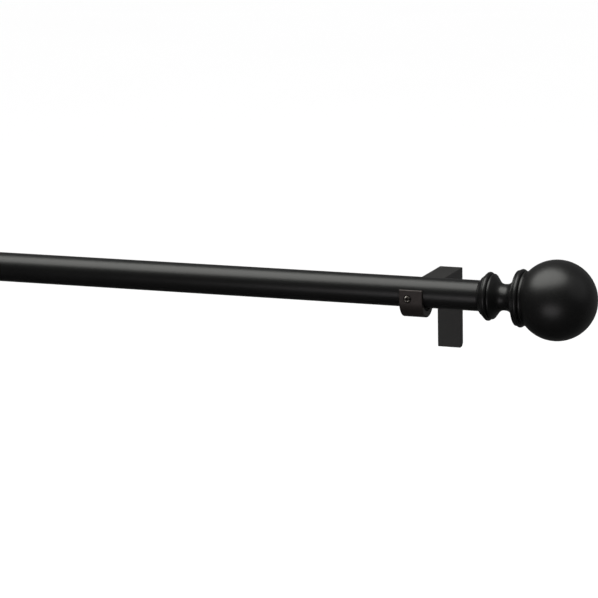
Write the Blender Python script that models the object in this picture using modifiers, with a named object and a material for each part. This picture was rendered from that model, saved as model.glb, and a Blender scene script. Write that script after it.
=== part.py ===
"""Telescoping curtain rod with ball finials and two wall brackets.

Frame: metres. The origin is the centre of the right bracket's wall face. +X runs along the
rod to the right finial, +Y points into the wall and +Z points up.
"""
from math import acos, cos, degrees, pi, radians, sin

import bmesh
import bpy
from mathutils import Vector

# ---- driving dimensions -------------------------------------------------------------------
GAP = 0.0003  # clearance between pieces that touch

ROD_RADIUS = 0.0125
TUBE_WALL = 0.001
INNER_ROD_RADIUS = ROD_RADIUS - TUBE_WALL - GAP
ROD_LENGTH = 0.711  # from finial face to finial face, closed up
FINIAL_FACE = 0.0560  # from a bracket's middle to the finial's face
OUTER_TUBE_LEFT_END = -0.573
INNER_TUBE_RIGHT_END = -0.003

WALL_TO_AXIS = 0.0889
POST_HEIGHT = 0.068
POST_DEPTH = 0.0075
POST_TOP_OVER_AXIS = 0.0038
BRACKET_WIDTH = 0.0202
SHEET = 0.0016  # wall of the bracket body
POST_CORNER_CUT = 0.0028
ARM_HEIGHT = 0.010
ARM_REACH = 0.0675  # from the wall to the arm's open end

CRADLE_WIDTH = 0.0198
CRADLE_OUTER_RADIUS = 0.01535
CRADLE_OUTER_CENTRE = -0.00505  # below the rod's axis
CRADLE_INNER_RADIUS = 0.0128
CRADLE_INNER_CENTRE = -0.0024
CRADLE_LIP_TOP = 0.0043
TAIL_END = 0.022  # from the wall to the back end of the holder's tail
ROD_SCREW_DROP = 0.0031  # below the rod's axis
ROD_SCREW_OFFSET = -0.0026  # along the rod, from the cradle's middle
ROD_SCREW_LENGTH = 0.0038
SET_SCREW_RADIUS = 0.0025
DEPTH_SCREW_FROM_WALL = 0.052
NUT_HEIGHT = 0.0034

COVER_SCREW_RADIUS = 0.00125
COVER_SCREW_Y = -0.0038
COVER_SCREW_Z = 0.009  # above the post's middle, behind the rod

PLATE_WIDTH = 0.0155
PLATE_HEIGHT = 0.060
PLATE_THICK = 0.002
WALL_HOLE_SPACING = 0.040
WALL_HOLE_RADIUS = 0.0024
WALL_HOLE_SINK_RADIUS = 0.0042

BALL_RADIUS = 0.0327
BALL_CENTRE = 0.0622  # from the finial's face
NECK_RADIUS = 0.0107
COLLAR_FOOT_RADIUS = 0.0149
STUD_RADIUS = 0.003
STUD_GRIP = 0.014  # thread length on each side of the finial's face

ROUND = 40  # sides of the rod and the finials
SMALL_ROUND = 20  # sides of screws and holes

# ---- worked-out places --------------------------------------------------------------------
AXIS_Y = -WALL_TO_AXIS
POST_TOP = POST_HEIGHT / 2
AXIS_Z = POST_TOP - POST_TOP_OVER_AXIS
RIGHT_BRACKET_X = 0.0
LEFT_FACE_X = FINIAL_FACE - ROD_LENGTH
LEFT_BRACKET_X = LEFT_FACE_X + FINIAL_FACE

COLOURS = {
    "satin_black_tube": ((0.018, 0.017, 0.016), 0.38, 0.0),
    "satin_black_bracket": ((0.022, 0.020, 0.019), 0.45, 0.0),
    "satin_black_finial": ((0.017, 0.016, 0.016), 0.42, 0.0),
    "black_oxide": ((0.05, 0.045, 0.04), 0.35, 0.9),
    "zinc_plate": ((0.55, 0.55, 0.56), 0.35, 1.0),
    "black_plastic": ((0.02, 0.02, 0.02), 0.55, 0.0),
    "black_rubber": ((0.012, 0.012, 0.012), 0.8, 0.0),
}


def clear_scene():
    for obj in list(bpy.data.objects):
        bpy.data.objects.remove(obj, do_unlink=True)


def collection(name):
    made = bpy.data.collections.new(name)
    bpy.context.scene.collection.children.link(made)
    return made


def material_for(name, finish):
    """A material of the piece's own, in one of the finishes above."""
    colour, roughness, metallic = COLOURS[finish]
    made = bpy.data.materials.new(name + "_finish")
    made.use_nodes = True
    shader = made.node_tree.nodes["Principled BSDF"]
    shader.inputs["Base Color"].default_value = (*colour, 1.0)
    shader.inputs["Roughness"].default_value = roughness
    shader.inputs["Metallic"].default_value = metallic
    return made


def put_in(obj, target):
    for holder in list(obj.users_collection):
        holder.objects.unlink(obj)
    target.objects.link(obj)
    return obj


def as_cutter(obj):
    obj.hide_render = True
    obj.display_type = "WIRE"
    return put_in(obj, cutters)


def as_piece(obj, name, finish):
    obj.name = name
    obj.data.name = name
    obj.data.materials.append(material_for(name, finish))
    return put_in(obj, pieces)


def smooth(obj, angle=30):
    obj.data.shade_smooth()
    obj.data.set_sharp_from_angle(angle=radians(angle))


def box(low, high):
    """A box from its lowest to its highest corner, with its scale applied."""
    low, high = Vector(low), Vector(high)
    bpy.ops.mesh.primitive_cube_add(size=1, location=(low + high) / 2)
    made = bpy.context.object
    for vertex in made.data.vertices:
        vertex.co = [c * s for c, s in zip(vertex.co, high - low)]
    return made


def round_bar(start, end, radius, sides=SMALL_ROUND):
    """A cylinder between two points."""
    start, end = Vector(start), Vector(end)
    bpy.ops.mesh.primitive_cylinder_add(
        vertices=sides, radius=radius, depth=(end - start).length, location=(start + end) / 2
    )
    made = bpy.context.object
    made.rotation_euler = (end - start).to_track_quat("Z", "Y").to_euler()
    return made


def turned(profile, place, towards, sides=ROUND):
    """A lathe piece: profile is (radius, height) from its top down the outer side."""
    mesh = bpy.data.meshes.new("profile")
    mesh.from_pydata([(r, 0, h) for r, h in profile], [(i, i + 1) for i in range(len(profile) - 1)], [])
    made = bpy.data.objects.new("turned", mesh)
    pieces.objects.link(made)
    made.location = place
    made.rotation_euler = Vector(towards).to_track_quat("Z", "Y").to_euler()
    screw = made.modifiers.new("turn", "SCREW")
    screw.steps = sides
    screw.render_steps = sides
    screw.use_merge_vertices = True
    screw.merge_threshold = 0.00002
    return made


def pipe(start, end, outer, inner, sides=ROUND):
    """A tube between two points."""
    half = (Vector(end) - Vector(start)).length / 2
    profile = [(outer, half), (outer, -half), (inner, -half), (inner, half), (outer, half)]
    middle = (Vector(start) + Vector(end)) / 2
    return turned(profile, middle, Vector(end) - Vector(start), sides)


def slab(outline, middle_x, width):
    """A flat outline of (y, z) points, extruded along X about middle_x."""
    curve = bpy.data.curves.new("outline", "CURVE")
    curve.dimensions = "2D"
    curve.fill_mode = "BOTH"
    curve.extrude = width / 2
    spline = curve.splines.new("POLY")
    spline.points.add(len(outline) - 1)
    for point, (y, z) in zip(spline.points, outline):
        point.co = (y, z, 0, 1)
    spline.use_cyclic_u = True
    drawn = bpy.data.objects.new("outline", curve)
    pieces.objects.link(drawn)
    drawn.location = (middle_x, 0, 0)
    drawn.rotation_euler = (pi / 2, 0, pi / 2)
    bpy.context.view_layer.update()
    mesh = bpy.data.meshes.new_from_object(drawn.evaluated_get(bpy.context.evaluated_depsgraph_get()))
    welded = bmesh.new()
    welded.from_mesh(mesh)
    bmesh.ops.remove_doubles(welded, verts=welded.verts, dist=0.00001)
    bmesh.ops.recalc_face_normals(welded, faces=welded.faces)
    welded.to_mesh(mesh)
    welded.free()
    made = bpy.data.objects.new("slab", mesh)
    made.matrix_world = drawn.matrix_world
    pieces.objects.link(made)
    bpy.data.objects.remove(drawn, do_unlink=True)
    return made


def combine(target, other, operation):
    step = target.modifiers.new(operation.lower(), "BOOLEAN")
    step.operation = operation
    step.solver = "EXACT"
    step.object = as_cutter(other)
    return target


def cut(target, other):
    return combine(target, other, "DIFFERENCE")


def add(target, other):
    return combine(target, other, "UNION")


def rounded(target, width, segments=1):
    edge = target.modifiers.new("edges", "BEVEL")
    edge.width = width
    edge.segments = segments
    edge.limit_method = "ANGLE"
    edge.angle_limit = radians(40)
    return target


def arc(centre, radius, start, end, steps):
    """Points on a circle about centre, from start to end degrees."""
    points = []
    for i in range(steps + 1):
        turn = radians(start + (end - start) * i / steps)
        points.append((centre[0] + radius * cos(turn), centre[1] + radius * sin(turn)))
    return points


def bezier(a, b, c, d, steps):
    """Points on a cubic curve from a to d, both ends left out."""
    points = []
    for i in range(1, steps):
        t = i / steps
        weights = ((1 - t) ** 3, 3 * t * (1 - t) ** 2, 3 * t * t * (1 - t), t**3)
        points.append(tuple(sum(w * p[k] for w, p in zip(weights, (a, b, c, d))) for k in (0, 1)))
    return points


# ---- rod ----------------------------------------------------------------------------------
def on_axis(x):
    return Vector((x, AXIS_Y, AXIS_Z))


def tube_end(side):
    """Where a tube stops, short of the finial and the plug's flange."""
    flange = 0.0008
    face = FINIAL_FACE if side > 0 else LEFT_FACE_X
    return face - side * (flange + 2 * GAP)


def outer_tube():
    made = pipe(on_axis(OUTER_TUBE_LEFT_END), on_axis(tube_end(1)), ROD_RADIUS, ROD_RADIUS - TUBE_WALL)
    smooth(as_piece(made, "outer_tube", "satin_black_tube"))


def inner_tube():
    inside = INNER_ROD_RADIUS - TUBE_WALL
    made = pipe(on_axis(tube_end(-1)), on_axis(INNER_TUBE_RIGHT_END), INNER_ROD_RADIUS, inside)
    smooth(as_piece(made, "inner_tube", "satin_black_tube"))


def outer_trim_ring():
    """The plastic ring that covers the outer tube's cut end."""
    length = 0.004
    right = OUTER_TUBE_LEFT_END - GAP
    made = pipe(on_axis(right - length), on_axis(right), ROD_RADIUS + GAP, INNER_ROD_RADIUS + GAP)
    smooth(as_piece(made, "outer_trim_ring", "black_plastic"))


def inner_guide():
    """The plastic guide in the hidden end of the inner tube, which slides in the outer one."""
    stem, flange, flange_length, depth = INNER_ROD_RADIUS - TUBE_WALL - GAP, INNER_ROD_RADIUS, 0.003, 0.014
    bore = 0.006
    profile = [
        (flange, flange_length + GAP),
        (flange, GAP),
        (stem, GAP),
        (stem, -depth),
        (bore, -depth),
        (bore, flange_length + GAP),
        (flange, flange_length + GAP),
    ]
    made = turned(profile, on_axis(INNER_TUBE_RIGHT_END), (1, 0, 0), 32)
    smooth(as_piece(made, "inner_guide", "black_plastic"))


def end_plug(side, name, tube_inside):
    """The plug in a tube's outer end, with a tapped hole for the finial's stud."""
    face = FINIAL_FACE if side > 0 else LEFT_FACE_X
    flange_top, flange_foot, depth = -GAP, -GAP - 0.0008, 0.018
    flange = tube_inside + TUBE_WALL - GAP / 3
    stem = tube_inside - GAP
    hole = STUD_RADIUS + GAP
    profile = [
        (flange, flange_top),
        (flange, flange_foot),
        (stem, flange_foot),
        (stem, -depth),
        (hole, -depth),
        (hole, flange_top),
        (flange, flange_top),
    ]
    made = turned(profile, on_axis(face), (side, 0, 0), 32)
    smooth(as_piece(made, name, "black_plastic"))


def finial_outline():
    """The finial's (radius, height) outline from the ball's tip down to its face."""
    ball_foot = 0.0380
    foot_turn = 180 - degrees(acos((BALL_CENTRE - ball_foot) / BALL_RADIUS))
    points = arc((BALL_CENTRE, 0), BALL_RADIUS, 0, foot_turn, 13)
    # the two beads below the ball, with their groove between
    points += arc((0.0367, 0.0202), 0.0019, 35, 165, 3)
    points += arc((0.0332, 0.0216), 0.0019, -10, 180, 5)
    # the rim of the flare, then down to the neck
    rim, neck = (0.0294, 0.0223), (0.0189, NECK_RADIUS)
    points += [(0.0305, 0.0217), rim]
    points += bezier(rim, (0.0256, 0.0113), (0.0234, NECK_RADIUS), neck, 5) + [neck]
    # up from the neck to the two beads of the collar, and its cone against the rod
    points += bezier(neck, (0.0144, NECK_RADIUS), (0.0132, 0.0149), (0.0106, 0.0175), 4)
    points += arc((0.0093, 0.0168), 0.0016, 35, 165, 3)
    points += arc((0.0060, 0.0179), 0.00185, -15, 180, 5)
    points += [(0.0038, 0.0184), (0.0, COLLAR_FOOT_RADIUS)]
    return [(r, h) for h, r in points]


def finial(side, name):
    face = FINIAL_FACE if side > 0 else LEFT_FACE_X
    bore = STUD_RADIUS + GAP
    outline = finial_outline() + [(bore, 0), (bore, STUD_GRIP), (0, STUD_GRIP)]
    made = turned(outline, on_axis(face), (side, 0, 0), ROUND)
    smooth(as_piece(made, name, "satin_black_finial"), 40)


def finial_stud(side, name):
    face = FINIAL_FACE if side > 0 else LEFT_FACE_X
    chamfer = 0.0006
    top = STUD_GRIP - GAP
    profile = [(0, top), (STUD_RADIUS - chamfer, top), (STUD_RADIUS, top - chamfer)]
    profile += [(r, -h) for r, h in reversed(profile)]
    made = turned(profile, on_axis(face), (side, 0, 0), SMALL_ROUND)
    smooth(as_piece(made, name, "zinc_plate"))


# ---- brackets -----------------------------------------------------------------------------
def mounting_plate(x, inward, name):
    """The strip screwed to the wall, with an ear that takes the cover screw."""
    half_w, half_h = PLATE_WIDTH / 2, PLATE_HEIGHT / 2
    ear_front, ear_half = -0.0056, 0.005
    made = box((x - half_w, -PLATE_THICK, -half_h), (x + half_w, 0, half_h))
    edge, inside = x + inward * half_w, x + inward * (half_w - SHEET)
    low = (min(edge, inside), ear_front, COVER_SCREW_Z - ear_half)
    high = (max(edge, inside), -PLATE_THICK / 2, COVER_SCREW_Z + ear_half)
    add(made, box(low, high))
    for z in (-WALL_HOLE_SPACING / 2, WALL_HOLE_SPACING / 2):
        cut(made, round_bar((x, -0.004, z), (x, 0.002, z), WALL_HOLE_RADIUS))
        sink = turned(
            [(0, 0.0), (WALL_HOLE_SINK_RADIUS, 0.0), (WALL_HOLE_RADIUS - 0.0002, -0.0018), (0, -0.0018)],
            (x, -PLATE_THICK - 0.0002, z),
            (0, -1, 0),
            SMALL_ROUND,
        )
        cut(made, sink)
    cut(made, cover_screw_hole(x, inward))
    as_piece(made, name, "zinc_plate")


def cover_screw_hole(x, inward):
    """A drill through the post's inward side and the plate's ear."""
    start = (x + inward * 0.014, COVER_SCREW_Y, COVER_SCREW_Z)
    end = (x + inward * 0.0045, COVER_SCREW_Y, COVER_SCREW_Z)
    return round_bar(start, end, COVER_SCREW_RADIUS + GAP)


def cover_screw(x, inward, name):
    """The pan-head screw that holds the bracket body on its mounting plate."""
    head_radius, head_height, shank = 0.0026, 0.0013, 0.0046
    under_head = x + inward * (BRACKET_WIDTH / 2 + GAP)
    profile = [
        (0, head_height),
        (head_radius * 0.7, head_height),
        (head_radius, head_height * 0.6),
        (head_radius, 0),
        (COVER_SCREW_RADIUS, 0),
        (COVER_SCREW_RADIUS, -shank),
        (0, -shank),
    ]
    place = (under_head, COVER_SCREW_Y, COVER_SCREW_Z)
    made = turned(profile, place, (inward, 0, 0), SMALL_ROUND)
    slot_half, slot_depth = 0.0003, 0.0007
    top = under_head + inward * head_height
    xs = sorted((top - inward * slot_depth, top + inward * 0.001))
    ys = COVER_SCREW_Y - 0.003, COVER_SCREW_Y + 0.003
    zs = COVER_SCREW_Z - slot_half, COVER_SCREW_Z + slot_half
    cut(made, box((xs[0], ys[0], zs[0]), (xs[1], ys[1], zs[1])))
    as_piece(made, name, "black_oxide")


def bracket_body(x, inward, name):
    """The folded L: a post cover that is open at the wall, and a hollow arm."""
    half, arm_bottom = BRACKET_WIDTH / 2, POST_TOP - ARM_HEIGHT
    front = -POST_DEPTH
    outline = [
        (0, POST_TOP),
        (-ARM_REACH, POST_TOP),
        (-ARM_REACH, arm_bottom),
        (front, arm_bottom),
        (front, -POST_TOP),
        (-POST_CORNER_CUT, -POST_TOP),
        (0, -POST_TOP + POST_CORNER_CUT),
    ]
    made = slab(outline, x, BRACKET_WIDTH)
    rounded(made, 0.0005)
    hollow = box(
        (x - half + SHEET, front + SHEET, -POST_TOP + SHEET), (x + half - SHEET, 0.001, POST_TOP - SHEET)
    )
    cut(made, hollow)
    tunnel = box(
        (x - half + SHEET, -ARM_REACH - 0.001, arm_bottom + SHEET),
        (x + half - SHEET, front - GAP, POST_TOP - SHEET),
    )
    cut(made, tunnel)
    drill = (x, -DEPTH_SCREW_FROM_WALL, arm_bottom - 0.002), (x, -DEPTH_SCREW_FROM_WALL, arm_bottom + 0.003)
    cut(made, round_bar(*drill, SET_SCREW_RADIUS + GAP))
    cut(made, cover_screw_hole(x, inward))
    as_piece(made, name, "satin_black_bracket")


def socket_screw(tip, head, name):
    """A set screw from its flat tip to its head, with a hexagonal socket."""
    tip, head = Vector(tip), Vector(head)
    length, chamfer = (head - tip).length, 0.0004
    profile = [
        (0, length),
        (SET_SCREW_RADIUS - chamfer, length),
        (SET_SCREW_RADIUS, length - chamfer),
        (SET_SCREW_RADIUS, chamfer),
        (SET_SCREW_RADIUS - chamfer, 0),
        (0, 0),
    ]
    made = turned(profile, tip, head - tip, SMALL_ROUND)
    out = (head - tip).normalized()
    cut(made, round_bar(head - out * 0.002, head + out * 0.001, 0.00145, 6))
    as_piece(made, name, "black_oxide")


def depth_nut(x, name):
    """The square nut under the arm for the depth screw."""
    half, height = 0.0048, NUT_HEIGHT
    top = POST_TOP - ARM_HEIGHT - GAP
    y = -DEPTH_SCREW_FROM_WALL
    made = box((x - half, y - half, top - height), (x + half, y + half, top))
    rounded(made, 0.0005)
    cut(made, round_bar((x, y, top - 0.006), (x, y, top + 0.002), SET_SCREW_RADIUS + GAP))
    as_piece(made, name, "black_oxide")


def depth_screw(x, name):
    tip = tail_bottom() - GAP
    foot = POST_TOP - ARM_HEIGHT - GAP - NUT_HEIGHT - 0.0012
    y = -DEPTH_SCREW_FROM_WALL
    socket_screw((x, y, tip), (x, y, foot), name)


def tail_bottom():
    return POST_TOP - ARM_HEIGHT + SHEET + GAP


def holder(x, name):
    """The U-shaped rod holder: a cradle with a tail that slides in the arm."""
    centre_out = AXIS_Z + CRADLE_OUTER_CENTRE
    centre_in = AXIS_Z + CRADLE_INNER_CENTRE
    lip = AXIS_Z + CRADLE_LIP_TOP
    outline = [(AXIS_Y - CRADLE_OUTER_RADIUS, lip)]
    outline += arc((AXIS_Y, centre_out), CRADLE_OUTER_RADIUS, 180, 360, 16)
    outline += [(AXIS_Y + CRADLE_OUTER_RADIUS, lip), (AXIS_Y + CRADLE_INNER_RADIUS, lip)]
    outline += arc((AXIS_Y, centre_in), CRADLE_INNER_RADIUS, 0, -180, 16)
    outline += [(AXIS_Y - CRADLE_INNER_RADIUS, lip)]
    made = slab(outline, x, CRADLE_WIDTH)
    half = BRACKET_WIDTH / 2 - SHEET - GAP
    top = POST_TOP - SHEET - GAP
    tail_front = AXIS_Y + CRADLE_OUTER_RADIUS - 0.0015
    low, high = (x - half, tail_front, tail_bottom()), (x + half, -TAIL_END, min(top, lip - 0.0004))
    add(made, box(low, high))
    rounded(made, 0.0004)
    z = AXIS_Z - ROD_SCREW_DROP
    sx = x + ROD_SCREW_OFFSET
    front = AXIS_Y - CRADLE_OUTER_RADIUS
    cut(made, round_bar((sx, front - 0.002, z), (sx, front + 0.006, z), SET_SCREW_RADIUS + GAP))
    as_piece(made, name, "satin_black_bracket")


def rod_screw(x, name):
    """The set screw in the cradle's lip that clamps the rod."""
    z, sx = AXIS_Z - ROD_SCREW_DROP, x + ROD_SCREW_OFFSET
    tip = AXIS_Y - CRADLE_INNER_RADIUS
    socket_screw((sx, tip, z), (sx, tip - ROD_SCREW_LENGTH, z), name)


def liner(x, rod_radius, name):
    """The soft saddle that fills the crescent between the rod and the cradle."""
    outer = CRADLE_INNER_RADIUS - GAP
    centre_out = AXIS_Z + CRADLE_INNER_CENTRE
    inner = rod_radius + GAP
    reach = 62  # degrees to each side of straight down
    outline = arc((AXIS_Y, centre_out), outer, -90 - reach, -90 + reach, 14)
    outline += arc((AXIS_Y, AXIS_Z), inner, -90 + reach - 8, -90 - reach + 8, 14)
    made = slab(outline, x, CRADLE_WIDTH - 0.003)
    as_piece(made, name, "black_rubber")


def bracket(x, inward, prefix, rod_radius):
    mounting_plate(x, inward, prefix + "_mounting_plate")
    bracket_body(x, inward, prefix + "_bracket_body")
    cover_screw(x, inward, prefix + "_cover_screw")
    depth_nut(x, prefix + "_depth_nut")
    depth_screw(x, prefix + "_depth_screw")
    holder(x, prefix + "_holder")
    liner(x, rod_radius, prefix + "_liner")
    rod_screw(x, prefix + "_rod_screw")


def build():
    outer_tube()
    inner_tube()
    outer_trim_ring()
    inner_guide()
    end_plug(1, "right_end_plug", ROD_RADIUS - TUBE_WALL)
    end_plug(-1, "left_end_plug", INNER_ROD_RADIUS - TUBE_WALL)
    for side, word in ((1, "right"), (-1, "left")):
        finial(side, word + "_finial")
        finial_stud(side, word + "_finial_stud")
    bracket(RIGHT_BRACKET_X, -1, "right", ROD_RADIUS)
    bracket(LEFT_BRACKET_X, 1, "left", INNER_ROD_RADIUS)


clear_scene()
pieces = collection("curtain_rod_with_brackets")
cutters = collection("cutters")
build()
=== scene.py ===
"""The looks of the curtain rod with brackets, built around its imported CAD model."""

from math import acos, cos, degrees, pi, radians, sin, tau

import bmesh
import bpy
from mathutils import Matrix, Vector

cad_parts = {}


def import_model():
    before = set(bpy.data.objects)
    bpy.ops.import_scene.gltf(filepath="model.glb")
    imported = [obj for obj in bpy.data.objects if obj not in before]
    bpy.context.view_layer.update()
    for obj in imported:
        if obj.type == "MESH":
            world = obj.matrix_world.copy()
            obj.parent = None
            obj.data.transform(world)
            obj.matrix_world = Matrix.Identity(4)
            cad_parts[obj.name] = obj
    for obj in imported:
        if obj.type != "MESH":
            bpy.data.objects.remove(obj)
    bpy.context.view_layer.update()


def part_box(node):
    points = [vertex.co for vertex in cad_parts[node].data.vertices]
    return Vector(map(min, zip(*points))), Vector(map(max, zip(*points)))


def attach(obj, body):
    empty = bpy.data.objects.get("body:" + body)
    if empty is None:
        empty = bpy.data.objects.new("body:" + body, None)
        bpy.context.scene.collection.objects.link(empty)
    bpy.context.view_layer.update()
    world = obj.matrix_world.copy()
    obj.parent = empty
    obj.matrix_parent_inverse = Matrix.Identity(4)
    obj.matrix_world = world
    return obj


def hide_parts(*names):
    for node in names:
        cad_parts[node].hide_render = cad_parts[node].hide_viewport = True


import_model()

# ---- sizes that several pieces share, as in the CAD -----------------------------------------
MM = 0.001
GAP = 0.3 * MM  # clearance between neighbouring pieces
SHEET = 1.6 * MM  # wall of the bracket body
ARM_HEIGHT = 10 * MM
POST_DEPTH = 7.5 * MM
TUBE_WALL = 1.0 * MM
SADDLE_DROP = 2.4 * MM  # from the rod's axis down to the centre of the cradle's floor
SET_SCREW_RADIUS = 2.5 * MM
SET_SCREW_HOLE = SET_SCREW_RADIUS + GAP
COVER_SCREW_HOLE = 1.55 * MM
FINIAL_BORE, FINIAL_BORE_DEPTH = 3.3 * MM, 14 * MM  # for the stud


# ---- places read from the frame -------------------------------------------------------------
def middle(node):
    low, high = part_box(node)
    return (low + high) / 2


def size(node):
    low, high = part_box(node)
    return high - low


ROD = middle("outer_tube")
ROD_RADIUS = size("outer_tube").z / 2
INNER_RADIUS = size("inner_tube").z / 2
RIGHT_BRACKET = middle("right_bracket_body").x
FINIAL_FACE = {"right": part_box("right_finial")[0].x, "left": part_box("left_finial")[1].x}
HELD_RADIUS = {"right": ROD_RADIUS, "left": INNER_RADIUS}
OUTWARD = {"right": 1, "left": -1}
WORDS = ("right", "left")


# ---- node helpers for materials -------------------------------------------------------------
RANGE_KEYS = ("From Min", "From Max", "To Min", "To Max")


class Nodes:
    """A short way to write a node tree. Noise scales are in cycles per metre."""

    def __init__(self, name):
        self.material = bpy.data.materials.new(name)
        self.material.use_nodes = True
        self.tree = self.material.node_tree
        self.shader = self.tree.nodes["Principled BSDF"]

    def add(self, kind, settings=None, **inputs):
        node = self.tree.nodes.new("ShaderNode" + kind)
        for key, value in (settings or {}).items():
            setattr(node, key, value)
        for key, value in inputs.items():
            self.put(node.inputs[key.replace("_", " ")], value)
        return node

    def put(self, socket, value):
        if isinstance(value, bpy.types.NodeSocket):
            self.tree.links.new(value, socket)
        else:
            socket.default_value = value

    def shade(self, **inputs):
        for key, value in inputs.items():
            self.put(self.shader.inputs[key.replace("_", " ")], value)

    def place(self, stretch=(1, 1, 1)):
        """The object's own coordinates, in metres, stretched along its axes."""
        where = self.add("TexCoord").outputs["Object"]
        return self.add("Mapping", Vector=where, Scale=stretch).outputs["Vector"]

    def noise(self, scale, detail=2.0, stretch=(1, 1, 1), roughness=0.5):
        where = self.place(stretch)
        made = self.add("TexNoise", Vector=where, Scale=scale, Detail=detail, Roughness=roughness)
        return made.outputs["Fac"]

    def ranged(self, value, low, high, from_low=0.3, from_high=0.7):
        """A value from the given range (the middle of a noise's) brought to low..high."""
        made = self.add("MapRange", Value=value)
        for key, number in zip(RANGE_KEYS, (from_low, from_high, low, high)):
            made.inputs[key].default_value = number
        return made.outputs["Result"]

    def blend(self, factor, dark, light):
        made = self.add("Mix", {"data_type": "RGBA"})
        self.put(made.inputs["Factor"], factor)
        for socket, colour in ((made.inputs[6], dark), (made.inputs[7], light)):
            self.put(socket, colour if isinstance(colour, bpy.types.NodeSocket) else (*colour, 1))
        return made.outputs[2]

    def bump(self, height, strength, distance, normal=None):
        made = self.add("Bump", Height=height, Strength=strength, Distance=distance)
        if normal is not None:
            self.put(made.inputs["Normal"], normal)
        return made.outputs["Normal"]

    def worn_edges(self, low, high):
        """0 on flat faces, 1 on outside edges."""
        point = self.add("NewGeometry").outputs["Pointiness"]
        return self.ranged(point, 0, 1, low, high)


def satin_paint(name, dark, light, rough, gloss, peel, grain=0.0, sheen=(1, 1, 1)):
    """Baked satin paint: faint orange peel, a little drift in gloss, and fine grain if it is cast."""
    n = Nodes(name)
    n.shade(Base_Color=n.blend(n.ranged(n.noise(38, 3), 0, 1), dark, light))
    n.shade(Roughness=n.ranged(n.noise(900, 2), rough - 0.03, rough + 0.03))
    normal = n.bump(n.noise(520, 1.5), 0.05 * peel, 0.4 * MM)
    if grain:
        normal = n.bump(n.noise(1300, 4), grain, 0.4 * MM, normal)
    n.shade(Normal=normal, Specular_IOR_Level=gloss, Specular_Tint=(*sheen, 1))
    return n.material


def machined_steel(name, dark, light, worn, rough):
    """Blackened steel with stains, fine scratches, and edges that are rubbed bright in patches."""
    n = Nodes(name)
    coat = n.blend(n.ranged(n.noise(420, 4), 0, 1), dark, light)
    patches = n.ranged(n.noise(450, 1), 0, 1, 0.46, 0.56)
    wear = n.add("Math", {"operation": "MULTIPLY"})
    n.put(wear.inputs[0], n.worn_edges(0.52, 0.6))
    n.put(wear.inputs[1], patches)
    n.shade(Base_Color=n.blend(wear.outputs["Value"], coat, worn), Metallic=1.0)
    n.shade(Roughness=n.ranged(n.noise(1500, 3), rough - 0.08, rough + 0.1))
    n.shade(Normal=n.bump(n.noise(2600, 2), 0.12, 0.2 * MM))
    return n.material


def zinc_plate(name):
    """Dull zinc with its patchy crystals and rolling marks."""
    n = Nodes(name)
    cells = n.add("TexVoronoi", Vector=n.place(), Scale=260.0, Randomness=1.0).outputs["Color"]
    shade = n.add("SeparateColor", Color=cells).outputs["Red"]
    n.shade(Base_Color=n.blend(shade, (0.42, 0.43, 0.44), (0.62, 0.62, 0.62)), Metallic=0.55)
    n.shade(Roughness=n.ranged(shade, 0.28, 0.46, 0, 1))
    n.shade(Normal=n.bump(n.noise(500, 3, (1, 1, 0.06)), 0.15, 0.2 * MM))
    return n.material


def moulded(name, dark, light, rough, bumps=0.1, scale=1400):
    """Moulded plastic or rubber with a fine matt texture."""
    n = Nodes(name)
    n.shade(Base_Color=n.blend(n.ranged(n.noise(90, 2), 0, 1), dark, light))
    n.shade(Roughness=n.ranged(n.noise(scale * 0.6, 2), rough - 0.06, rough + 0.06))
    n.shade(Normal=n.bump(n.noise(scale, 2), bumps, 0.3 * MM))
    return n.material


# a darker and a lighter colour each; the paints then take roughness, gloss and orange peel
BLACK = (0.0013, 0.0013, 0.0013), (0.0019, 0.0018, 0.0018)
BRACKET_BLACK = (0.0100, 0.0097, 0.0094), (0.0124, 0.0120, 0.0116)
WARM_BLACK = (0.0026, 0.0018, 0.0014), (0.0056, 0.0039, 0.0031)
WARM_SHEEN = (1, 0.9, 0.87)
TUBE_PAINT = satin_paint("tube_paint", *BLACK, 0.37, 0.5, 0.6)
FINIAL_PAINT = satin_paint("finial_paint", *BLACK, 0.37, 0.5, 0.7)
BRACKET_PAINT = satin_paint("bracket_paint", *BRACKET_BLACK, 0.5, 0.36, 1.2)
HOLDER_PAINT = satin_paint("holder_paint", *WARM_BLACK, 0.44, 0.75, 1.4, 0.35, WARM_SHEEN)
BLACKENED = (0.02, 0.018, 0.016), (0.05, 0.045, 0.04), (0.55, 0.52, 0.48)
BLACK_STEEL = machined_steel("black_steel", *BLACKENED, 0.3)
ZINC = zinc_plate("zinc_plate")
PLASTIC = moulded("black_plastic", (0.006, 0.006, 0.006), (0.010, 0.010, 0.010), 0.5)
RUBBER = moulded("black_rubber", (0.004, 0.004, 0.004), (0.008, 0.008, 0.008), 0.75, 0.2, 1800)


# ---- shape helpers --------------------------------------------------------------------------
def polar(centre, radius, turn):
    """The point at turn degrees on a circle about centre."""
    angle = radians(turn)
    return centre[0] + radius * cos(angle), centre[1] + radius * sin(angle)


def arc(centre, radius, start, end, steps):
    """Points on a circle about centre, from start to end degrees."""
    return [polar(centre, radius, start + (end - start) * i / steps) for i in range(steps + 1)]


def bezier(a, b, c, d, steps):
    """Points on a cubic curve from a to d, both ends left out."""
    points = []
    for i in range(1, steps):
        t = i / steps
        weights = ((1 - t) ** 3, 3 * t * (1 - t) ** 2, 3 * t * t * (1 - t), t**3)
        points.append(tuple(sum(w * p[k] for w, p in zip(weights, (a, b, c, d))) for k in (0, 1)))
    return points


def new_object(name, made, material=None):
    mesh = bpy.data.meshes.new(name)
    bmesh.ops.recalc_face_normals(made, faces=made.faces)
    made.to_mesh(mesh)
    made.free()
    if material:
        mesh.materials.append(material)
    obj = bpy.data.objects.new(name, mesh)
    bpy.context.scene.collection.objects.link(obj)
    return obj


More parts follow.
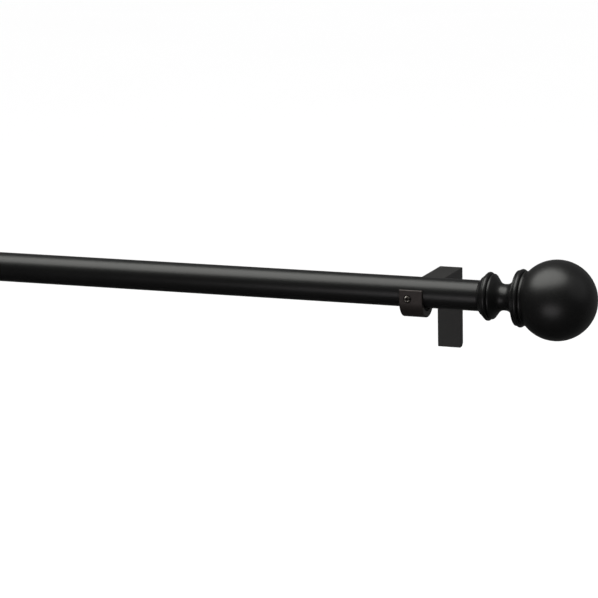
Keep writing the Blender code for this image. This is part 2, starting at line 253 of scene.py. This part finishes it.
def settle(obj):
    """Turns the object's modifiers into its mesh."""
    bpy.context.view_layer.update()
    old = obj.data
    evaluated = obj.evaluated_get(bpy.context.evaluated_depsgraph_get())
    obj.data = bpy.data.meshes.new_from_object(evaluated)
    obj.modifiers.clear()
    bpy.data.meshes.remove(old)
    obj.data.name = obj.name
    return obj


def carve(obj, other, operation="DIFFERENCE"):
    """Cuts other out of the object, or joins it on, and removes other."""
    step = obj.modifiers.new("carve", "BOOLEAN")
    step.operation, step.solver, step.object = operation, "EXACT", other
    settle(obj)
    bpy.data.objects.remove(other, do_unlink=True)


def ease(obj, width, segments=3, angle=40):
    """Rounds every edge that is sharper than angle degrees."""
    step = obj.modifiers.new("ease", "BEVEL")
    step.width, step.segments = width, segments
    step.limit_method, step.angle_limit = "ANGLE", radians(angle)
    return settle(obj)


def soften(obj, angle=35, weigh=False):
    """Shades the object smooth, with sharp edges above angle degrees."""
    obj.data.shade_smooth()
    obj.data.set_sharp_from_angle(angle=radians(angle))
    if weigh:
        step = obj.modifiers.new("weigh", "WEIGHTED_NORMAL")
        step.keep_sharp = True
        settle(obj)
    return obj


def facing(place, towards):
    """The transform that puts the Z axis along towards, at place."""
    turn = Vector(towards).to_track_quat("Z", "Y").to_matrix().to_4x4()
    return Matrix.Translation(place) @ turn


def lathe(name, profile, place, towards, material=None, sides=128, shape=None):
    """A turned closed solid: profile is (radius, height); shape(radius, height, angle) alters a radius."""
    made = bmesh.new()
    rings = []
    for radius, height in profile:
        if radius < 1e-7:
            rings.append([made.verts.new((0, 0, height))])
            continue
        ring = []
        for i in range(sides):
            angle = tau * i / sides
            r = shape(radius, height, angle) if shape else radius
            ring.append(made.verts.new((r * cos(angle), r * sin(angle), height)))
        rings.append(ring)
    loop = list(zip(rings, rings[1:]))
    if len(rings[0]) > 1:
        loop.append((rings[-1], rings[0]))
    for upper, lower in loop:
        a, b = len(upper), len(lower)
        for i in range(sides):
            j = (i + 1) % sides
            corners = [upper[i % a], lower[i % b], lower[j % b], upper[j % a]]
            made.faces.new(list(dict.fromkeys(corners)))
    made.transform(facing(place, towards))
    return soften(new_object(name, made, material))


def prism(name, outline, low, high, material=None, axis="X"):
    """A flat outline, extruded along an axis: (y, z) points for X, (x, z) points for Y."""
    made = bmesh.new()
    ends = []
    for level in (low, high):
        spots = [(level, a, b) if axis == "X" else (a, level, b) for a, b in outline]
        ends.append([made.verts.new(spot) for spot in spots])
        made.faces.new(ends[-1])
    count = len(outline)
    for i in range(count):
        j = (i + 1) % count
        made.faces.new((ends[0][i], ends[0][j], ends[1][j], ends[1][i]))
    return new_object(name, made, material)


def block(name, low, high, material=None):
    outline = [(low[1], low[2]), (high[1], low[2]), (high[1], high[2]), (low[1], high[2])]
    return prism(name, outline, low[0], high[0], material)


def bar(start, end, radius, sides=64):
    """A cutter in the shape of a round or many-sided bar."""
    length = (Vector(end) - Vector(start)).length
    profile = [(0, length), (radius, length), (radius, 0), (0, 0)]
    return lathe("cutter", profile, start, Vector(end) - Vector(start), None, sides)


def threads(radius, low, high, pitch):
    """Profile points from high down to low, close enough to carry a thread."""
    per_turn = 8
    count = int((high - low) / pitch * per_turn)
    return [(radius, high - (high - low) * i / count) for i in range(count + 1)]


def thread(low, high, pitch, depth, over):
    """A shape for lathe that winds a groove round radii larger than over."""

    def cut(radius, height, angle):
        if radius < over or not low < height < high:
            return radius
        fade = min(1.0, (height - low) / pitch, (high - height) / pitch)
        wave = 0.5 - 0.5 * cos(tau * height / pitch - angle)
        return radius - fade * depth * wave**0.7

    return cut


def finish_piece(obj, node, body):
    """Hides the piece's CAD node, and puts the piece on its body."""
    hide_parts(node)
    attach(obj, body)


def rod_point(x):
    return Vector((x, ROD.y, ROD.z))


# ---- rod ------------------------------------------------------------------------------------
def tube(name, node, body, radius):
    """A drawn tube whose cut ends are rounded over."""
    low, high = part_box(node)
    half, lip, inside_lip = (high.x - low.x) / 2, 0.3 * MM, 0.15 * MM
    inner = radius - TUBE_WALL
    outline = arc((half - lip, radius - lip), lip, 0, 90, 4)
    outline += arc((-half + lip, radius - lip), lip, 90, 180, 4)
    outline += [(-half, inner + inside_lip), (-half + inside_lip, inner)]
    outline += [(half - inside_lip, inner), (half, inner + inside_lip)]
    place = rod_point((low.x + high.x) / 2)
    made = lathe(name, [(r, h) for h, r in outline], place, (1, 0, 0), TUBE_PAINT, 160)
    finish_piece(made, node, body)


def trim_ring():
    """The moulded ring over the outer tube's cut end, with a grip groove round it."""
    low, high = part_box("outer_trim_ring")
    half, edge = (high.x - low.x) / 2, 0.5 * MM
    outer, inner = (high.z - low.z) / 2, INNER_RADIUS + GAP
    groove_height, groove_radius = outer + 0.5 * MM, 0.75 * MM
    outline = arc((half - edge, outer - edge), edge, 0, 90, 6)
    outline += arc((0, groove_height), groove_radius, -48, -132, 10)
    outline += arc((-half + edge, outer - edge), edge, 90, 180, 6)
    outline += arc((-half + edge, inner + edge), edge, 180, 270, 5)
    outline += [(half - 0.2 * MM, inner), (half, inner + 0.2 * MM)]
    place = rod_point((low.x + high.x) / 2)
    made = lathe("tube_trim_ring", [(r, h) for h, r in outline], place, (1, 0, 0), PLASTIC, 160)
    finish_piece(made, "outer_trim_ring", "outer_rod")


def fluted(low, high, count, depth, over):
    """A shape for lathe that leaves count ribs standing on radii larger than over."""

    def cut(radius, height, angle):
        if radius < over or not low < height < high:
            return radius
        return radius - depth * min(1.0, 6 * sin(count * angle / 2) ** 2)

    return cut


def ribbed_plug(name, node, body, face, towards, flange, flange_top, flange_foot, stem, foot, bore):
    """A moulded plug: a thin flange, and a stem with crush ribs that grips the tube's inside."""
    edge, bore_edge, ribs, rib_height = 0.2 * MM, 0.4 * MM, 12, 0.45 * MM
    profile = [(flange - edge, flange_top), (flange, flange_top - edge), (flange, flange_foot)]
    profile += [(stem, flange_foot), (stem, flange_foot - 0.3 * MM), (stem, flange_foot - 0.5 * MM)]
    # the stem's tip tapers so that it starts easily in the tube
    profile += [(stem, foot + 1.4 * MM), (stem - 0.1 * MM, foot + 1.2 * MM), (stem - 0.6 * MM, foot)]
    profile += [(bore + bore_edge, foot), (bore, foot + bore_edge), (bore, flange_top - bore_edge)]
    profile += [(bore + bore_edge, flange_top)]
    ribbed = foot + 1.3 * MM, flange_foot - 0.4 * MM
    shape = fluted(*ribbed, ribs, rib_height, stem - 0.05 * MM)
    made = lathe(name, profile, face, towards, PLASTIC, 144, shape)
    finish_piece(made, node, body)


def plugs():
    """The guide on the inner tube's hidden end, and the plugs that hold the finials' studs."""
    low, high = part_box("inner_guide")
    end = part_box("inner_tube")[1].x
    stem, guide_bore, flange_thickness = INNER_RADIUS - TUBE_WALL - GAP, 6 * MM, 0.8 * MM
    sizes = INNER_RADIUS, high.x - end, GAP, stem, low.x - end, guide_bore
    ribbed_plug("sliding_guide", "inner_guide", "inner_rod", rod_point(end), (1, 0, 0), *sizes)
    for word, body in (("right", "outer_rod"), ("left", "inner_rod")):
        node = word + "_end_plug"
        flange, foot = size(node).z / 2, -size(node).x - GAP
        stem = HELD_RADIUS[word] - TUBE_WALL - GAP
        sizes = flange, -GAP, -GAP - flange_thickness, stem, foot, FINIAL_BORE
        place, towards = rod_point(FINIAL_FACE[word]), (OUTWARD[word], 0, 0)
        ribbed_plug(word + "_tube_plug", node, body, place, towards, *sizes)


def finial_outline():
    """(radius, height above the finial's face) from the ball's tip down to the face."""
    ball_radius = size("right_finial").z / 2
    ball_height = size("right_finial").x - ball_radius
    ball_foot = 38.0 * MM
    foot_turn = 180 - degrees(acos((ball_height - ball_foot) / ball_radius))
    points = arc((ball_height, 0), ball_radius, 0, foot_turn, 72)
    # the two beads below the ball, with a deep groove between
    points += arc((36.7 * MM, 20.2 * MM), 1.9 * MM, 35, 192, 20)
    points += arc((33.2 * MM, 21.6 * MM), 1.9 * MM, -42, 172, 26)
    # the rim of the flare, then down to the neck
    points += arc((30.0 * MM, 21.9 * MM), 0.5 * MM, 50, 190, 8)
    rim, neck, thin = (29.4 * MM, 21.7 * MM), (18.9 * MM, 10.7 * MM), 10.7 * MM
    points += bezier(rim, (25.6 * MM, 11.3 * MM), (23.4 * MM, thin), neck, 26) + [neck]
    # up from the neck to the two beads of the collar
    points += bezier(neck, (14.4 * MM, thin), (13.2 * MM, 14.9 * MM), (10.6 * MM, 17.5 * MM), 20)
    points += arc((9.3 * MM, 16.8 * MM), 1.6 * MM, 35, 192, 18)
    points += arc((6.0 * MM, 17.9 * MM), 1.85 * MM, -48, 165, 24)
    # the collar's own rim, and its cone against the rod
    points += arc((4.0 * MM, 18.05 * MM), 0.4 * MM, 60, 200, 8)
    points += [(0.15 * MM, 15.0 * MM), (0, 14.8 * MM)]
    return [(r, h) for h, r in points]


def finial(word):
    """The turned finial, with the bore for its stud."""
    bore, depth, edge = FINIAL_BORE, FINIAL_BORE_DEPTH, 0.4 * MM
    outline = finial_outline()
    outline[0] = (0, outline[0][1])  # the tip, exactly on the axis
    outline += [(bore + edge, 0), (bore, edge), (bore, depth), (0, depth)]
    place = rod_point(FINIAL_FACE[word])
    made = lathe(word + "_ball_finial", outline, place, (OUTWARD[word], 0, 0), FINIAL_PAINT, 192)
    finish_piece(made, word + "_finial", word + "_finial")


def finial_stud(word):
    """The headless threaded stud inside a finial."""
    span = size(word + "_finial_stud")
    radius, half, edge = span.z / 2, span.x / 2, 0.6 * MM
    pitch, thread_depth = 1.0 * MM, 0.5 * MM
    profile = [(0, half), (radius - edge, half)] + threads(radius, edge - half, half - edge, pitch)
    profile += [(radius - edge, -half), (0, -half)]
    shape = thread(edge - half, half - edge, pitch, thread_depth, radius * 0.9)
    made = lathe(word + "_stud", profile, middle(word + "_finial_stud"), (1, 0, 0), ZINC, 48, shape)
    finish_piece(made, word + "_finial_stud", word + "_finial")


# ---- brackets -------------------------------------------------------------------------------
def mounting_plate(word):
    """The zinc strip on the wall: two countersunk holes, and a bent ear for the cover screw."""
    node = word + "_mounting_plate"
    low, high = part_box(node)
    thick, corner, edge, ear_half = 2.0 * MM, 2.5 * MM, 0.2 * MM, 5 * MM
    hole, sink, sink_depth, rise = 2.4 * MM, 4.3 * MM, 1.7 * MM, 20 * MM  # of the wall screws
    x = middle(node).x
    quarters = ((high.x - corner, high.z - corner, 0), (low.x + corner, high.z - corner, 90))
    quarters += ((low.x + corner, low.z + corner, 180), (high.x - corner, low.z + corner, 270))
    outline = []
    for a, b, turn in quarters:
        outline += arc((a, b), corner, turn, turn + 90, 8)
    front = high.y - thick
    made = prism(word + "_wall_plate", outline, front, high.y, ZINC, "Y")
    inward = -OUTWARD[word]
    outer_x = x + inward * (high.x - low.x) / 2
    screw = middle(word + "_cover_screw")
    xs = sorted((outer_x, outer_x - inward * SHEET))
    ear_low = (xs[0], low.y, screw.z - ear_half)
    ear = block("cutter", ear_low, (xs[1], high.y - thick / 2, screw.z + ear_half))
    carve(made, ease(ear, 0.5 * MM), "UNION")
    ease(made, edge, 2, 60)
    cone = [(0, 0.3 * MM), (sink, 0.3 * MM), (sink, 0.05 * MM), (hole, -sink_depth), (0, -sink_depth)]
    for z in (-rise, rise):
        carve(made, bar((x, low.y - MM, z), (x, high.y + MM, z), hole))
        carve(made, lathe("cutter", cone, (x, front, z), (0, -1, 0), None, 64))
    reach = Vector((3 * MM, 0, 0))
    drilled = Vector((outer_x, screw.y, screw.z))
    carve(made, bar(drilled - reach, drilled + reach, COVER_SCREW_HOLE))
    soften(made, 35, True)
    finish_piece(made, node, "root")


def bracket_body(word):
    """The folded cover: an open-backed post and a hollow arm, with the bends' radii."""
    node = word + "_bracket_body"
    low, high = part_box(node)
    post_front, arm_foot, corner = -POST_DEPTH, high.z - ARM_HEIGHT, 2.8 * MM
    bend, inner_bend = 0.7 * MM, 0.5 * MM
    outline = [(0, high.z), (low.y, high.z), (low.y, arm_foot), (post_front, arm_foot)]
    outline += [(post_front, low.z), (-corner, low.z), (0, low.z + corner)]
    made = prism(word + "_bracket_cover", outline, low.x, high.x, BRACKET_PAINT)
    ease(made, bend, 4)
    inner_low = (low.x + SHEET, post_front + SHEET, low.z + SHEET)
    hollow = block("cutter", inner_low, (high.x - SHEET, MM, high.z - SHEET))
    carve(made, ease(hollow, inner_bend))
    tunnel_low = (low.x + SHEET, low.y - MM, arm_foot + SHEET)
    tunnel = block("cutter", tunnel_low, (high.x - SHEET, post_front - GAP, high.z - SHEET))
    carve(made, ease(tunnel, inner_bend))
    nut = middle(word + "_depth_nut")
    start, end = (nut.x, nut.y, arm_foot - MM), (nut.x, nut.y, arm_foot + 3 * MM)
    carve(made, bar(start, end, SET_SCREW_HOLE))
    screw = middle(word + "_cover_screw")
    reach = Vector((3 * MM, 0, 0))
    drilled = Vector((low.x if word == "right" else high.x, screw.y, screw.z))
    carve(made, bar(drilled - reach, drilled + reach, COVER_SCREW_HOLE))
    soften(made, 35, True)
    finish_piece(made, node, "root")


def holder(word):
    """The cast U that carries the rod, with a tail that slides in the arm."""
    node = word + "_holder"
    low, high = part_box(node)
    x = middle(node).x
    outer, inner, lip = 15.35 * MM, 12.8 * MM, high.z
    sink, sink_foot, sink_depth = 3.3 * MM, 2.6 * MM, 0.7 * MM
    outer_z, inner_z = ROD.z - 5.05 * MM, ROD.z - SADDLE_DROP
    outline = [(ROD.y - outer, lip)] + arc((ROD.y, outer_z), outer, 180, 360, 48)
    outline += [(ROD.y + outer, lip), (ROD.y + inner, lip)] + arc((ROD.y, inner_z), inner, 0, -180, 48)
    outline += [(ROD.y - inner, lip)]
    made = prism(word + "_rod_cradle", outline, low.x, high.x, HOLDER_PAINT)
    body = word + "_bracket_body"
    half = size(body).x / 2 - SHEET - GAP
    arm_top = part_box(body)[1].z
    tail_top, tail_foot = arm_top - SHEET - GAP, arm_top - ARM_HEIGHT + SHEET + GAP
    start = ROD.y + outer - 1.5 * MM
    tail = block("cutter", (x - half, start, tail_foot), (x + half, high.y, tail_top))
    carve(made, tail, "UNION")
    ease(made, 0.85 * MM, 5)
    screw = middle(word + "_rod_screw")
    front = ROD.y - outer
    start, end = (screw.x, front - 2 * MM, screw.z), (screw.x, front + 6 * MM, screw.z)
    carve(made, bar(start, end, SET_SCREW_HOLE))
    cone = [(0, MM), (sink, MM), (sink, 0), (sink_foot, -sink_depth), (0, -sink_depth)]
    carve(made, lathe("cutter", cone, (screw.x, front, screw.z), (0, -1, 0), None, 64))
    soften(made, 35, True)
    finish_piece(made, node, word + "_holder")


def set_screw(name, node, body, towards):
    """A headless screw with a hexagonal socket."""
    towards = Vector(towards)
    span = size(node)
    length = abs(span.dot(towards))
    radius, edge, pitch, thread_depth = SET_SCREW_RADIUS, 0.45 * MM, 0.8 * MM, 0.42 * MM
    socket_depth, socket_radius = 2.0 * MM, 1.45 * MM
    tip = middle(node) - towards * length / 2
    profile = [(0, length), (radius - edge, length)] + threads(radius, edge, length - edge, pitch)
    profile += [(radius - edge, 0), (0, 0)]
    shape = thread(edge, length - edge, pitch, thread_depth, radius * 0.9)
    made = lathe(name, profile, tip, towards, BLACK_STEEL, 72, shape)
    head = tip + towards * length
    carve(made, bar(head - towards * socket_depth, head + towards * MM, socket_radius, 6))
    cone = [(0, 0.2 * MM), (1.75 * MM, 0.2 * MM), (1.25 * MM, -0.3 * MM), (0, -0.3 * MM)]
    carve(made, lathe("cutter", cone, head, towards, None, 48))
    soften(made, 30)
    finish_piece(made, node, body)


def square_nut(word):
    """The nut under the arm that the depth screw turns in."""
    node = word + "_depth_nut"
    low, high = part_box(node)
    made = ease(block(word + "_square_nut", low, high, BLACK_STEEL), 0.45 * MM, 3)
    centre = middle(node)
    start, end = (centre.x, centre.y, low.z - MM), (centre.x, centre.y, high.z + MM)
    carve(made, bar(start, end, SET_SCREW_HOLE))
    cone = [(0, 0.2 * MM), (3.6 * MM, 0.2 * MM), (2.6 * MM, -0.8 * MM), (0, -0.8 * MM)]
    for z, up in ((high.z, 1), (low.z, -1)):
        carve(made, lathe("cutter", cone, (centre.x, centre.y, z), (0, 0, up), None, 64))
    soften(made, 30, True)
    finish_piece(made, node, "root")


def cover_screw(word):
    """A slotted pan-head screw."""
    node = word + "_cover_screw"
    low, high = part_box(node)
    towards = Vector((-OUTWARD[word], 0, 0))
    radius, head_height = size(node).z / 2, 1.3 * MM
    shank_radius, pitch, thread_depth = 1.25 * MM, 0.5 * MM, 0.25 * MM
    slot_depth, slot_half, slot_reach = 0.7 * MM, 0.3 * MM, 3 * MM
    seat_x = (low.x + head_height) if word == "right" else (high.x - head_height)
    shank = size(node).x - head_height
    seat = Vector((seat_x, middle(node).y, middle(node).z))
    profile = [(0, head_height), (radius * 0.55, head_height), (radius * 0.78, head_height * 0.88)]
    profile += [(radius * 0.93, head_height * 0.66), (radius, head_height * 0.36), (radius, 0.1 * MM)]
    profile += [(radius - 0.1 * MM, 0), (shank_radius, 0), (shank_radius, -0.4 * MM)]
    threaded = 0.3 * MM - shank, -0.5 * MM
    profile += threads(shank_radius, *threaded, pitch) + [(0.8 * MM, -shank), (0, -shank)]
    shape = thread(*threaded, pitch, thread_depth, 1.2 * MM)
    made = lathe(word + "_pan_screw", profile, seat, towards, BLACK_STEEL, 72, shape)
    xs = sorted(seat.x + towards.x * (head_height + rise) for rise in (-slot_depth, MM))
    slot_low = (xs[0], seat.y - slot_reach, seat.z - slot_half)
    carve(made, block("cutter", slot_low, (xs[1], seat.y + slot_reach, seat.z + slot_half)))
    soften(made, 30)
    finish_piece(made, node, node)


def liner(word):
    """The rubber saddle under the rod, ribbed along the rod on its upper face."""
    node = word + "_liner"
    low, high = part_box(node)
    outer, centre = 12.5 * MM, ROD.z - SADDLE_DROP
    inner = HELD_RADIUS[word] + GAP
    outline = arc((ROD.y, centre), outer, -152, -28, 48)
    steps, first, last = 160, -36, -144
    ribs_per_turn, groove_depth, ribbed_half = 60, 0.32 * MM, 42
    for i in range(steps + 1):
        turn = first + (last - first) * i / steps
        groove = 0.0
        if abs(turn + 90) < ribbed_half:
            groove = groove_depth * (0.5 - 0.5 * cos(radians(turn + 90) * ribs_per_turn))
        outline.append(polar((ROD.y, ROD.z), inner + groove, turn))
    made = prism(word + "_rubber_saddle", outline, low.x, high.x, RUBBER)
    soften(made, 40)
    finish_piece(made, node, word + "_holder")


def build():
    tube("outer_rod_tube", "outer_tube", "outer_rod", ROD_RADIUS)
    tube("inner_rod_tube", "inner_tube", "inner_rod", INNER_RADIUS)
    trim_ring()
    plugs()
    for word in WORDS:
        finial(word)
        finial_stud(word)
        mounting_plate(word)
        bracket_body(word)
        cover_screw(word)
        square_nut(word)
        set_screw(word + "_depth_grub", word + "_depth_screw", word + "_depth_screw", (0, 0, -1))
        holder(word)
        liner(word)
        set_screw(word + "_rod_grub", word + "_rod_screw", word + "_rod_screw", (0, -1, 0))


# ---- stage ----------------------------------------------------------------------------------
CAMERA_AZIMUTH, CAMERA_ELEVATION, CAMERA_ROLL = 22.0, 12.0, 1.2
CAMERA_DISTANCE = 2.142
FOCAL_LENGTH = 158.93
SENSOR_WIDTH = 36
# how far the rod, at the right bracket, is to the right of the view's middle and above it
ROD_IN_VIEW = (0.0953, 0.0058)
FLOOR_HEIGHT, FLOOR_SIZE = -0.9, 60
PALE = (0.93, 0.93, 0.93), (0.95, 0.95, 0.95)
LIT_POINT = 0.03  # the x on the rod's axis that all lights face
SURROUND = 1.08  # brightness of the room, except in reflections
REFLECTED_DARK, REFLECTED_PALE = 0.025, 0.14
PALE_SIDE = (0.5, 0.42, -0.76)  # where reflections are palest, on the camera's axes
FADE_START, FADE_END = 0.1, 0.9  # cosines of the angle from there


def camera_axes():
    """The camera's right, up and back directions."""
    a, e = radians(CAMERA_AZIMUTH), radians(CAMERA_ELEVATION)
    back = Vector((sin(a) * cos(e), -cos(a) * cos(e), sin(e)))
    level = back.to_track_quat("Z", "Y").to_matrix()
    return level @ Matrix.Rotation(radians(-CAMERA_ROLL), 3, "Z")


def camera():
    """The photo's camera, placed by where the rod lies in its view."""
    data = bpy.data.cameras.new("camera")
    data.lens = FOCAL_LENGTH
    data.sensor_width = SENSOR_WIDTH
    made = bpy.data.objects.new("camera", data)
    bpy.context.scene.collection.objects.link(made)
    axes = camera_axes()
    right, up, back = (axes @ Vector(unit) for unit in ((1, 0, 0), (0, 1, 0), (0, 0, 1)))
    aim = rod_point(RIGHT_BRACKET) - right * ROD_IN_VIEW[0] - up * ROD_IN_VIEW[1]
    made.matrix_world = Matrix.Translation(aim + back * CAMERA_DISTANCE) @ axes.to_4x4()
    data.clip_end = 100
    bpy.context.scene.camera = made


def area_light(name, direction, distance, width, height, radiance, colour=(1, 1, 1)):
    """A soft oval light, longest along the rod, in a direction given on the camera's axes."""
    target = rod_point(LIT_POINT)
    place = target + camera_axes() @ Vector(direction).normalized() * distance
    data = bpy.data.lights.new(name, "AREA")
    data.shape = "ELLIPSE"
    data.size, data.size_y = width, height
    data.energy = radiance * pi * width * height * pi / 4
    data.color = colour
    made = bpy.data.objects.new(name, data)
    back = (place - target).normalized()
    down = back.cross(Vector((1, 0, 0))).normalized()
    turn = Matrix((down.cross(back), down, back)).transposed()
    made.matrix_world = Matrix.Translation(place) @ turn.to_4x4()
    bpy.context.scene.collection.objects.link(made)


def floor():
    place = (0, 0, FLOOR_HEIGHT)
    bpy.ops.mesh.primitive_grid_add(x_subdivisions=8, y_subdivisions=8, size=FLOOR_SIZE, location=place)
    made = bpy.context.object
    made.name = "floor"
    n = Nodes("pale_floor")
    n.shade(Base_Color=n.blend(n.noise(0.6, 2), *PALE), Roughness=0.9, Specular_IOR_Level=0.1)
    made.data.materials.append(n.material)
    made.visible_glossy = False


def world():
    """A bright even room for the eye and for diffuse light, and a darker one for reflections."""
    made = bpy.data.worlds.new("studio")
    bpy.context.scene.world = made
    made.use_nodes = True
    nodes, links = made.node_tree.nodes, made.node_tree.links
    background = nodes["Background"]
    path = nodes.new("ShaderNodeLightPath")
    mix = nodes.new("ShaderNodeMix")
    mix.data_type = "RGBA"
    links.new(path.outputs["Is Glossy Ray"], mix.inputs["Factor"])
    mix.inputs[6].default_value = (SURROUND, SURROUND, SURROUND, 1)
    # reflections fade from a pale backdrop, behind and to the right, to a dark studio in front
    direction = nodes.new("ShaderNodeTexCoord").outputs["Generated"]
    along = nodes.new("ShaderNodeVectorMath")
    along.operation = "DOT_PRODUCT"
    links.new(direction, along.inputs[0])
    along.inputs[1].default_value = (camera_axes() @ Vector(PALE_SIDE)).normalized()
    fade = nodes.new("ShaderNodeMapRange")
    links.new(along.outputs["Value"], fade.inputs["Value"])
    limits = (FADE_START, FADE_END, REFLECTED_DARK, REFLECTED_PALE)
    for key, number in zip(RANGE_KEYS, limits):
        fade.inputs[key].default_value = number
    links.new(fade.outputs["Result"], mix.inputs[7])
    links.new(mix.outputs[2], background.inputs["Color"])


def lights():
    """The long box above, the small one low in front, and a faint one on the right."""
    area_light("key", (-0.34, 0.91, 0.28), 1.6, 2.9, 1.7, 3.55, (0.995, 1.0, 0.96))
    area_light("low_fill", (-0.30, -0.49, 0.82), 1.7, 1.5, 0.85, 1.2, (1.0, 0.96, 0.98))
    area_light("right_fill", (0.75, 0.5, 0.4), 1.6, 1.8, 1.8, 0.28)


camera()
floor()
world()
lights()
build()
bpy.context.scene.view_settings.view_transform = "Standard"
